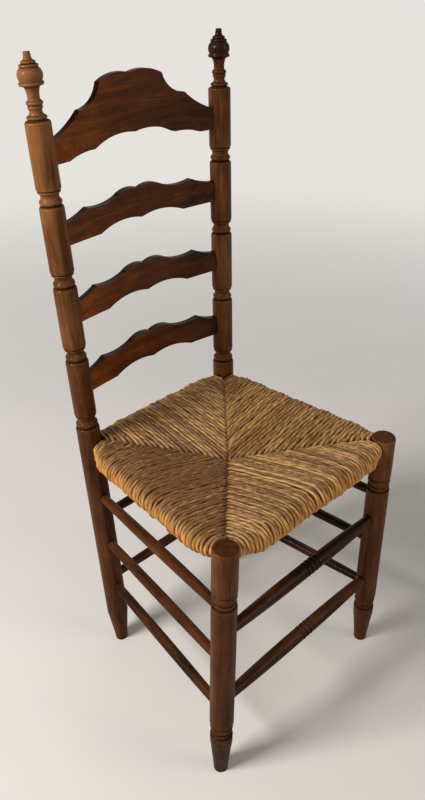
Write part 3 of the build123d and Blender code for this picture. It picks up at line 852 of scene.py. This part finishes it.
class CHAIR_OT_weave_seat(Operator):
    """Weave the four panels of the seat from twisted strands of rush"""

    bl_idname = "rush_chair.weave_seat"
    bl_label = "Weave seat"

    def execute(self, context):
        settings = context.scene.rush_chair
        sizes = settings.rush
        material = woven_rush(settings.rush_colours)
        for number, panel in enumerate(PANELS):
            random = np.random.default_rng(sizes.seed + number)
            origin, axes, start, path = panel_paths(settings, panel, random)
            along, inward, lengthwise, across, height, worn_lit, deep = path
            count, steps = height.shape
            phase = random.uniform(0, 2 * math.pi, (count, 3))
            way = np.linspace(0.0, 1.0, steps)[None, :]
            sway = wave(way, phase[:, 0], *SIDE_WAVES[0]) + wave(way, phase[:, 1], *SIDE_WAVES[1])
            lift = wave(way, phase[:, 2], *HEIGHT_WAVE) - np.abs(random.normal(0, HEIGHT_SCATTER, (count, 1)))
            lines = to_world(origin, axes, start, along, inward, lengthwise + sway, across, height + lift)
            radii = sizes.strand_radius * random.uniform(*RADIUS_RANGE, (count, 1))
            radii = radii * (1 + wave(way, phase[:, 1], *RADIUS_WAVE))
            side = np.append(along, 0.0) @ axes
            # Each panel's tone and gap darkness differ as painted light and shade.
            tone = np.clip(random.normal(*PANEL_TONES[panel], (count, 1)), *TONE_RANGE) * np.ones((1, steps))
            gap = PANEL_GAPS[panel] * (1 - WORN_LIT_GAP_LOSS * worn_lit)
            twist = {"pitch": sizes.twist_pitch, "start": phase[:, 0], "depth": LOBE_DEPTH}
            values = {"tone": tone, "worn_lit": worn_lit, "deep": deep, "gap": gap}
            mesh = tube_mesh(f"{panel}_rush_panel", lines, side, radii, twist, STRAND_SIDES, values)
            show(f"{panel}_rush_panel", mesh, material, "rush", "woven_rush_seat")
        return {"FINISHED"}


class CHAIR_OT_stuff_seat(Operator):
    """Fill the four panels of the seat with straw, close under the strands"""

    bl_idname = "rush_chair.stuff_seat"
    bl_label = "Stuff seat"

    def execute(self, context):
        settings = context.scene.rush_chair
        bags = []
        for number, panel in enumerate(PANELS):
            random = np.random.default_rng(settings.rush.seed + number)
            origin, axes, start, path = panel_paths(settings, panel, random)
            along, inward, lengthwise, across, height = path[:5]
            lines = to_world(origin, axes, start, along, inward, lengthwise, across, height)
            forward = np.gradient(lines, axis=1)
            side = np.append(along, 0.0) @ axes
            outward = np.cross(forward, side)
            outward /= np.linalg.norm(outward, axis=2, keepdims=True)
            bags.append(lines - outward * STRAW_INSET)
        mesh = bag_mesh("straw_filling", bags)
        show("straw_filling", mesh, loose_straw(settings.rush_colours), "straw", "straw_stuffing")
        return {"FINISHED"}


def seen_ray(tree):
    """1 for rays from the camera and for reflections and views through glass, 0 for light."""
    path = node(tree, "ShaderNodeLightPath")
    seen = math_node(tree, "MAXIMUM", path.outputs["Is Camera Ray"], path.outputs["Is Glossy Ray"])
    return math_node(tree, "MAXIMUM", seen, path.outputs["Is Transmission Ray"])


def pale_floor(settings):
    """Plain pale floor with a faint uneven tone, which turns to an even pale ground far from the chair.

    The pale ground is shown to the camera and in reflections only, so it lights nothing.
    """
    material, tree, surface = shell("pale_floor")
    place = object_place(tree)
    cloud = noise(tree, place, 1.6, 4.0, 0.6)
    shade = tuple(0.95 * c for c in settings.floor)
    body = blend_colour(tree, spread(tree, cloud, 0.3, 0.7), shade, settings.floor)
    tree.links.new(body, surface.inputs["Base Color"])
    tree.links.new(plus(tree, times(tree, cloud, 0.1), 0.8), surface.inputs["Roughness"])
    surface.inputs["Specular IOR Level"].default_value = 0.15
    away = node(tree, "ShaderNodeVectorMath", {0: place}, operation="LENGTH").outputs["Value"]
    share = times(tree, spread(tree, away, 0.5, 3.2), seen_ray(tree))
    ground = node(tree, "ShaderNodeEmission", {"Color": tuple(settings.ground) + (1.0,), "Strength": 1.0})
    mixed = node(tree, "ShaderNodeMixShader", {0: share, 1: surface.outputs[0], 2: ground.outputs[0]})
    tree.links.new(mixed.outputs[0], tree.nodes["Material Output"].inputs["Surface"])
    return material


def soft_lamp(name, colour, power, size, place, target):
    """Square lamp that faces a target."""
    data = bpy.data.lights.new(name, "AREA")
    data.color = colour
    data.energy = power
    data.shape = "SQUARE"
    data.size = size
    lamp = bpy.data.objects.new(name, data)
    lamp.location = place
    lamp.rotation_euler = (Vector(target) - Vector(place)).to_track_quat("-Z", "Y").to_euler()
    bpy.context.scene.collection.objects.link(lamp)


class CHAIR_OT_set_stage(Operator):
    """Set the floor, the lamps and the camera"""

    bl_idname = "rush_chair.set_stage"
    bl_label = "Set stage"

    def execute(self, context):
        scene = context.scene
        settings = scene.rush_chair.stage
        scene.view_settings.view_transform = "Standard"

        side = np.linspace(-FLOOR_HALF, FLOOR_HALF, FLOOR_POINTS)
        across, along = np.meshgrid(side, side)
        points = np.stack((across, along, np.zeros_like(across)), axis=-1).reshape(-1, 3)
        index = np.arange(FLOOR_POINTS**2).reshape(FLOOR_POINTS, FLOOR_POINTS)
        corners = (index[:-1, :-1], index[:-1, 1:], index[1:, 1:], index[1:, :-1])
        mesh = bpy.data.meshes.new("floor")
        mesh.from_pydata(points, [], np.stack(corners, axis=-1).reshape(-1, 4).tolist())
        mesh.materials.append(pale_floor(settings))
        floor = bpy.data.objects.new("floor", mesh)
        scene.collection.objects.link(floor)

        world = bpy.data.worlds.new("studio")
        world.use_nodes = True
        tree = world.node_tree
        sky = tree.nodes["Background"]
        sky.inputs["Color"].default_value = tuple(settings.sky) + (1.0,)
        sky.inputs["Strength"].default_value = settings.sky_strength
        pale = node(tree, "ShaderNodeBackground", {"Color": tuple(settings.ground) + (1.0,), "Strength": 1.0})
        mixed = node(tree, "ShaderNodeMixShader", {0: seen_ray(tree), 1: sky.outputs[0], 2: pale.outputs[0]})
        tree.links.new(mixed.outputs[0], tree.nodes["World Output"].inputs["Surface"])
        scene.world = world
        soft_lamp("window_light", settings.key, settings.key_power, **WINDOW_LAMP)
        soft_lamp("room_light", settings.fill, settings.fill_power, **ROOM_LAMP)

        azimuth, elevation, roll = settings.camera_azimuth, settings.camera_elevation, settings.camera_roll
        back = Vector((
            math.sin(azimuth) * math.cos(elevation),
            -math.cos(azimuth) * math.cos(elevation),
            math.sin(elevation),
        ))
        right = (-back).cross(Vector((0, 0, 1))).normalized()
        up = right.cross(-back)
        level = Matrix((right, up, back)).transposed()
        data = bpy.data.cameras.new("camera")
        data.lens = settings.lens
        data.shift_x = settings.shift_x
        data.shift_y = settings.shift_y
        data.clip_start = 0.01
        data.clip_end = 200.0
        camera = bpy.data.objects.new("camera", data)
        turned = level @ Matrix.Rotation(roll, 3, "Z")
        camera.matrix_world = Matrix.Translation(Vector(settings.camera_place)) @ turned.to_4x4()
        scene.collection.objects.link(camera)
        scene.camera = camera
        return {"FINISHED"}


class CHAIR_PT_sidebar(Panel):
    """Steps that dress the chair, in order"""

    bl_idname = "CHAIR_PT_sidebar"
    bl_label = "Rush chair"
    bl_space_type = "VIEW_3D"
    bl_region_type = "UI"
    bl_category = "Chair"

    def draw(self, context):
        column = self.layout.column()
        for operator in STEPS:
            column.operator(operator.bl_idname)
        settings = context.scene.rush_chair
        for group in (settings.rush, settings.rush_colours, settings.wood_colours, settings.stage):
            box = self.layout.box()
            for key in group.__annotations__:
                box.prop(group, key)


STEPS = (
    CHAIR_OT_stain_posts,
    CHAIR_OT_stain_slats,
    CHAIR_OT_stain_rungs,
    CHAIR_OT_finish_rails,
    CHAIR_OT_weave_seat,
    CHAIR_OT_stuff_seat,
    CHAIR_OT_set_stage,
)
CLASSES = (RushSizes, RushColours, WoodColours, StageSettings, ChairSettings) + STEPS + (CHAIR_PT_sidebar,)


def register():
    for kind in CLASSES:
        bpy.utils.register_class(kind)
    bpy.types.Scene.rush_chair = PointerProperty(
        type=ChairSettings, name="Rush chair", description="Settings of the chair"
    )


def unregister():
    del bpy.types.Scene.rush_chair
    for kind in reversed(CLASSES):
        bpy.utils.unregister_class(kind)


def main():
    """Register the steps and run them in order."""
    register()
    bpy.ops.rush_chair.stain_posts()
    bpy.ops.rush_chair.stain_slats()
    bpy.ops.rush_chair.stain_rungs()
    bpy.ops.rush_chair.finish_rails()
    bpy.ops.rush_chair.weave_seat()
    bpy.ops.rush_chair.stuff_seat()
    bpy.ops.rush_chair.set_stage()


if __name__ == "__main__":
    main()
